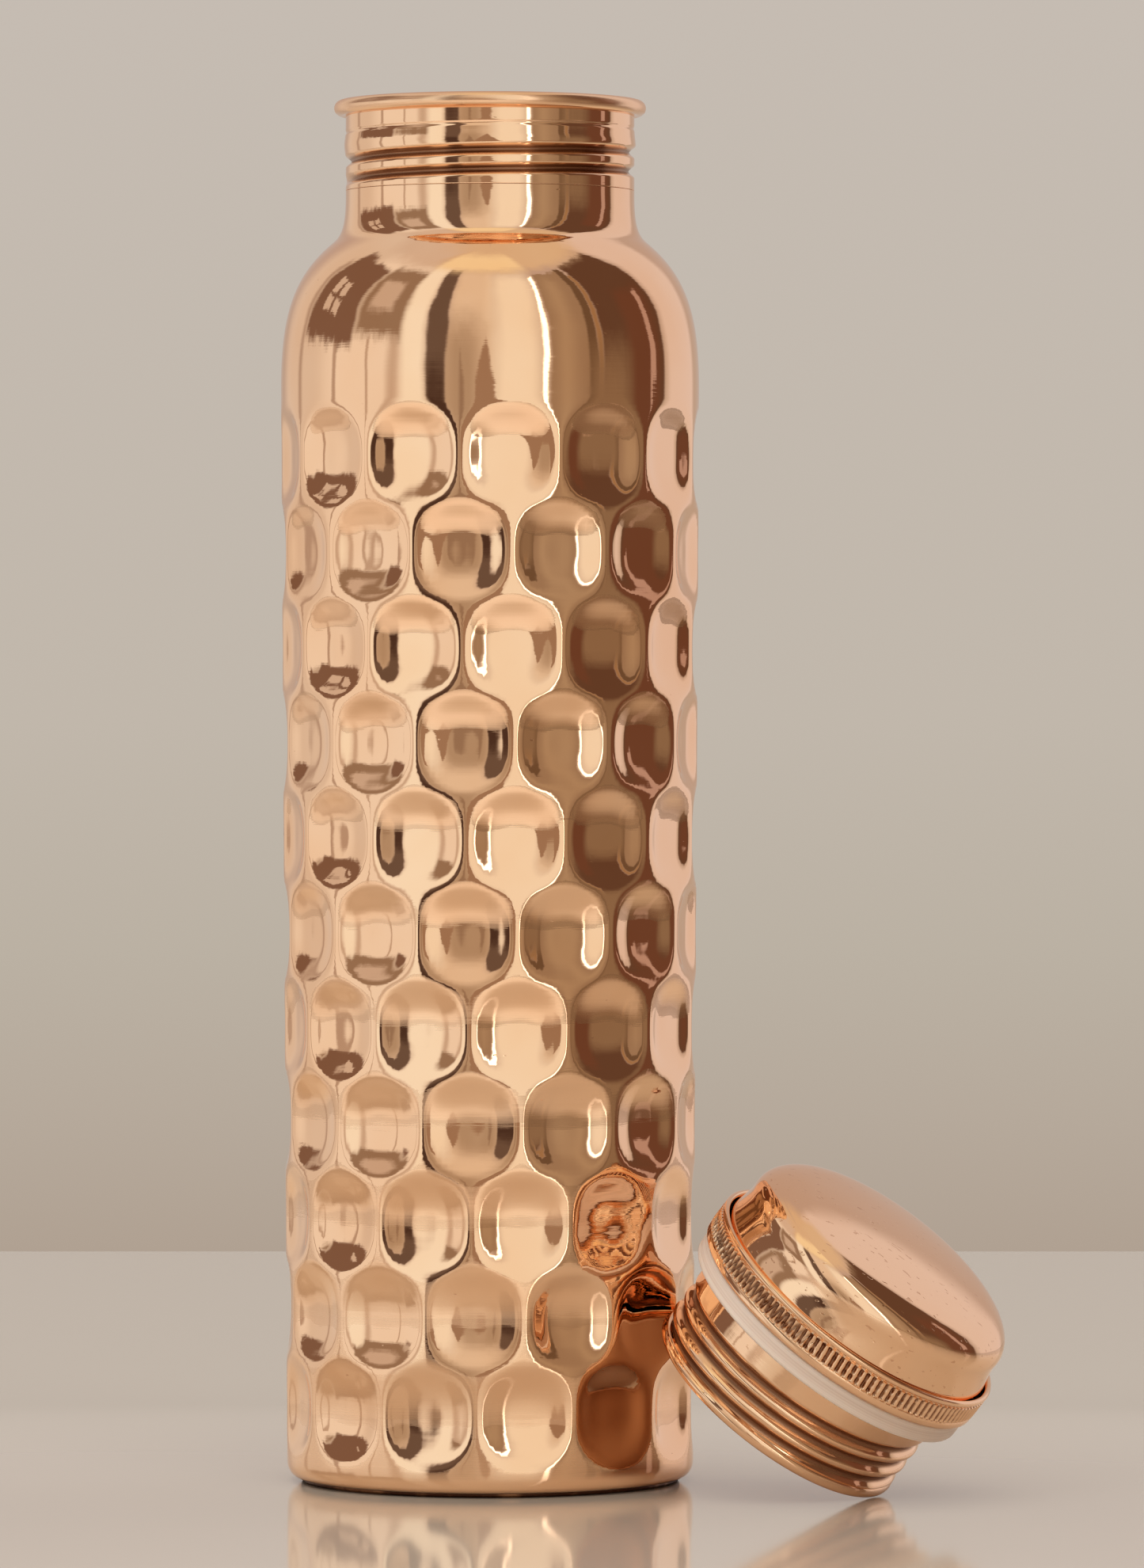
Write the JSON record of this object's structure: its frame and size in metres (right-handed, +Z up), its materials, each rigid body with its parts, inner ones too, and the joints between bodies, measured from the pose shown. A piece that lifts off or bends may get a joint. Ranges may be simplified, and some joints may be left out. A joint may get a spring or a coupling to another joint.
{
  "type": "copper water bottle",
  "caption": "Hammered copper water bottle with an open threaded neck, its knurled screw lid off and leaning against the body.",
  "frame": {"origin": "centre of the bottle's underside, on its axis, on the plane it stands on", "axes": "+Z up along the bottle's axis, -Y the front; the lid leans at +X, a little towards the front"},
  "size_m": [0.125, 0.0936, 0.2408],
  "materials": {
    "hammered_copper": "mirror-polished hammered copper with faint brush marks",
    "polished_copper": "mirror-polished turned copper",
    "knurled_copper": "knurled copper",
    "bare_copper": "satin copper, as drawn",
    "braze": "filed braze metal",
    "silicone": "translucent white silicone"
  },
  "bodies": {
    "bottle": {"body_shell": "hammered_copper", "neck_sleeve": "polished_copper", "neck_braze_seam": "braze", "base_pan": "bare_copper", "base_braze_seam": "braze"},
    "gasket": {"sealing_washer": "silicone"},
    "lid": {"cap_dome": "polished_copper", "dome_braze_seam": "braze", "knurled_collar": "knurled_copper", "cap_backing_disc": "bare_copper", "threaded_plug": "polished_copper", "plug_braze_seam": "braze"}
  },
  "joints": [
    {"name": "lid_carry", "type": "hinge", "parent": "bottle", "child": "gasket", "pos_m": [-0.42557, 0.20299, 0.11611], "axis": [-0.4305, -0.9026, 0], "range_deg": [0, 39.2]},
    {"name": "lid_turn", "type": "hinge", "parent": "gasket", "child": "lid", "pos_m": [0.04906, -0.0234, 0.01486], "axis": [0.5705, -0.2721, 0.7749], "continuous": true}
  ]
}
